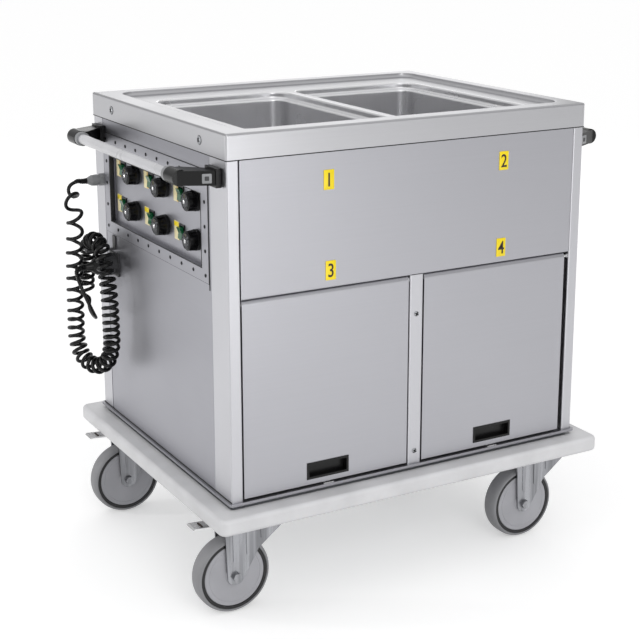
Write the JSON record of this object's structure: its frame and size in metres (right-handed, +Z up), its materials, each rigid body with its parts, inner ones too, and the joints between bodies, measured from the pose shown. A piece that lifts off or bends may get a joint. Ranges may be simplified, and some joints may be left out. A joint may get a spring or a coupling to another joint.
{
  "type": "hostess trolley",
  "caption": "Stainless steel heated food trolley: open pan wells over flap-door cupboards, control panel and curly cord on one end, push handles, bumper and braked castors.",
  "frame": {"origin": "on the floor under the middle of the trolley's overall footprint, cord left out", "axes": "+X along the front from the control end to the other end, +Y from the door side to the back, +Z up"},
  "size_m": [0.9612, 0.715, 0.915],
  "materials": {
    "stainless_top": "brushed",
    "stainless_well": "satin, drawn",
    "stainless_body": "fine vertical grain",
    "stainless_lining": "satin",
    "zinc_steel": "bright zinc plated",
    "bright_steel": "bright",
    "frame_steel": "dull",
    "bumper_grey": "satin light grey",
    "heater_black": "oxidised",
    "black_plastic": "moulded, semi gloss",
    "grey_plastic": "moulded, satin",
    "handle_grey": "satin",
    "cord_black": "smooth jacket",
    "switch_green": "translucent green",
    "castor_wheel": "grey rubber tyre on a light grey plastic centre"
  },
  "bodies": {
    "trolley": {"top_deck": "stainless_top", "well_left": "stainless_well", "well_right": "stainless_well", "heating_elements": "heater_black", "corner_posts": "stainless_body", "front_panel": "stainless_body", "left_panel": "stainless_body", "right_panel": "stainless_body", "back_panel": "stainless_body", "mullion": "stainless_body", "frame_screws": "bright_steel", "plinth": "stainless_body", "chassis": "frame_steel", "bumper": "bumper_grey", "cupboard_left": "stainless_lining", "cupboard_right": "stainless_lining", "control_cover": "stainless_body", "control_tray": "stainless_body", "cover_rivets": "bright_steel", "thermostats": "black_plastic", "switch_housings": "black_plastic", "handle_tubes": "handle_grey", "handle_brackets": "black_plastic", "handle_collars": "grey_plastic", "door_pins": "bright_steel", "door_catches": "bright_steel", "castor_plates": "zinc_steel", "cord_gland": "grey_plastic", "curly_cord": "cord_black", "plug": "black_plastic", "plug_holder": "grey_plastic"},
    "left_door": {"door_left": "stainless_body", "grip_left": "black_plastic"},
    "right_door": {"door_right": "stainless_body", "grip_right": "black_plastic"},
    "knob_1": {"knob_1": "black_plastic"},
    "knob_2": {"knob_2": "black_plastic"},
    "knob_3": {"knob_3": "black_plastic"},
    "knob_4": {"knob_4": "black_plastic"},
    "knob_5": {"knob_5": "black_plastic"},
    "knob_6": {"knob_6": "black_plastic"},
    "rocker_1": {"rocker_1": "switch_green"},
    "rocker_2": {"rocker_2": "switch_green"},
    "rocker_3": {"rocker_3": "switch_green"},
    "rocker_4": {"rocker_4": "switch_green"},
    "rocker_5": {"rocker_5": "switch_green"},
    "rocker_6": {"rocker_6": "switch_green"},
    "castor_front_left": {"fork_front_left": "zinc_steel"},
    "wheel_front_left": {"wheel_front_left": "castor_wheel"},
    "pedal_front_left": {"pedal_front_left": "bright_steel"},
    "castor_front_right": {"fork_front_right": "zinc_steel"},
    "wheel_front_right": {"wheel_front_right": "castor_wheel"},
    "pedal_front_right": {"pedal_front_right": "bright_steel"},
    "castor_back_left": {"fork_back_left": "zinc_steel"},
    "wheel_back_left": {"wheel_back_left": "castor_wheel"},
    "pedal_back_left": {"pedal_back_left": "bright_steel"},
    "castor_back_right": {"fork_back_right": "zinc_steel"},
    "wheel_back_right": {"wheel_back_right": "castor_wheel"},
    "pedal_back_right": {"pedal_back_right": "bright_steel"}
  },
  "joints": [
    {"name": "left_door_flap", "type": "hinge", "parent": "trolley", "child": "left_door", "pos_m": [-0.19, -0.307, 0.6064], "axis": [-1, 0, 0], "range_deg": [0, 90]},
    {"name": "right_door_flap", "type": "hinge", "parent": "trolley", "child": "right_door", "pos_m": [0.1885, -0.307, 0.6064], "axis": [-1, 0, 0], "range_deg": [0, 90]},
    {"name": "knob_1_turn", "type": "hinge", "parent": "trolley", "child": "knob_1", "pos_m": [-0.3815, 0.1155, 0.77275], "axis": [1, 0, 0], "range_deg": [0, 270]},
    {"name": "knob_2_turn", "type": "hinge", "parent": "trolley", "child": "knob_2", "pos_m": [-0.3815, -0.0275, 0.77275], "axis": [1, 0, 0], "range_deg": [0, 270]},
    {"name": "knob_3_turn", "type": "hinge", "parent": "trolley", "child": "knob_3", "pos_m": [-0.3815, -0.1705, 0.77275], "axis": [1, 0, 0], "range_deg": [0, 270]},
    {"name": "knob_4_turn", "type": "hinge", "parent": "trolley", "child": "knob_4", "pos_m": [-0.3815, 0.1155, 0.69925], "axis": [1, 0, 0], "range_deg": [0, 270]},
    {"name": "knob_5_turn", "type": "hinge", "parent": "trolley", "child": "knob_5", "pos_m": [-0.3815, -0.0275, 0.69925], "axis": [1, 0, 0], "range_deg": [0, 270]},
    {"name": "knob_6_turn", "type": "hinge", "parent": "trolley", "child": "knob_6", "pos_m": [-0.3815, -0.1705, 0.69925], "axis": [1, 0, 0], "range_deg": [0, 270]},
    {"name": "rocker_1_press", "type": "hinge", "parent": "trolley", "child": "rocker_1", "pos_m": [-0.3805, 0.1825, 0.77275], "axis": [0, 1, 0], "range_deg": [0, 14]},
    {"name": "rocker_2_press", "type": "hinge", "parent": "trolley", "child": "rocker_2", "pos_m": [-0.3805, 0.0395, 0.77275], "axis": [0, 1, 0], "range_deg": [0, 14]},
    {"name": "rocker_3_press", "type": "hinge", "parent": "trolley", "child": "rocker_3", "pos_m": [-0.3805, -0.1035, 0.77275], "axis": [0, 1, 0], "range_deg": [0, 14]},
    {"name": "rocker_4_press", "type": "hinge", "parent": "trolley", "child": "rocker_4", "pos_m": [-0.3805, 0.1825, 0.69925], "axis": [0, 1, 0], "range_deg": [0, 14]},
    {"name": "rocker_5_press", "type": "hinge", "parent": "trolley", "child": "rocker_5", "pos_m": [-0.3805, 0.0395, 0.69925], "axis": [0, 1, 0], "range_deg": [0, 14]},
    {"name": "rocker_6_press", "type": "hinge", "parent": "trolley", "child": "rocker_6", "pos_m": [-0.3805, -0.1035, 0.69925], "axis": [0, 1, 0], "range_deg": [0, 14]},
    {"name": "castor_front_left_swivel", "type": "hinge", "parent": "trolley", "child": "castor_front_left", "pos_m": [-0.3355, -0.2645, 0.18], "axis": [0, 0, 1], "continuous": true},
    {"name": "wheel_front_left_spin", "type": "hinge", "parent": "castor_front_left", "child": "wheel_front_left", "pos_m": [-0.3715, -0.2645, 0.075], "axis": [0, 1, 0], "continuous": true},
    {"name": "pedal_front_left_press", "type": "hinge", "parent": "castor_front_left", "child": "pedal_front_left", "pos_m": [-0.3835, -0.2645, 0.163], "axis": [0, -1, 0], "range_deg": [0, 16]},
    {"name": "castor_front_right_swivel", "type": "hinge", "parent": "trolley", "child": "castor_front_right", "pos_m": [0.3355, -0.2645, 0.18], "axis": [0, 0, 1], "continuous": true},
    {"name": "wheel_front_right_spin", "type": "hinge", "parent": "castor_front_right", "child": "wheel_front_right", "pos_m": [0.2995, -0.2645, 0.075], "axis": [0, 1, 0], "continuous": true},
    {"name": "pedal_front_right_press", "type": "hinge", "parent": "castor_front_right", "child": "pedal_front_right", "pos_m": [0.2875, -0.2645, 0.163], "axis": [0, -1, 0], "range_deg": [0, 16]},
    {"name": "castor_back_left_swivel", "type": "hinge", "parent": "trolley", "child": "castor_back_left", "pos_m": [-0.3355, 0.2645, 0.18], "axis": [0, 0, 1], "continuous": true},
    {"name": "wheel_back_left_spin", "type": "hinge", "parent": "castor_back_left", "child": "wheel_back_left", "pos_m": [-0.3715, 0.2645, 0.075], "axis": [0, 1, 0], "continuous": true},
    {"name": "pedal_back_left_press", "type": "hinge", "parent": "castor_back_left", "child": "pedal_back_left", "pos_m": [-0.3835, 0.2645, 0.163], "axis": [0, -1, 0], "range_deg": [0, 16]},
    {"name": "castor_back_right_swivel", "type": "hinge", "parent": "trolley", "child": "castor_back_right", "pos_m": [0.3355, 0.2645, 0.18], "axis": [0, 0, 1], "continuous": true},
    {"name": "wheel_back_right_spin", "type": "hinge", "parent": "castor_back_right", "child": "wheel_back_right", "pos_m": [0.2995, 0.2645, 0.075], "axis": [0, 1, 0], "continuous": true},
    {"name": "pedal_back_right_press", "type": "hinge", "parent": "castor_back_right", "child": "pedal_back_right", "pos_m": [0.2875, 0.2645, 0.163], "axis": [0, -1, 0], "range_deg": [0, 16]}
  ]
}
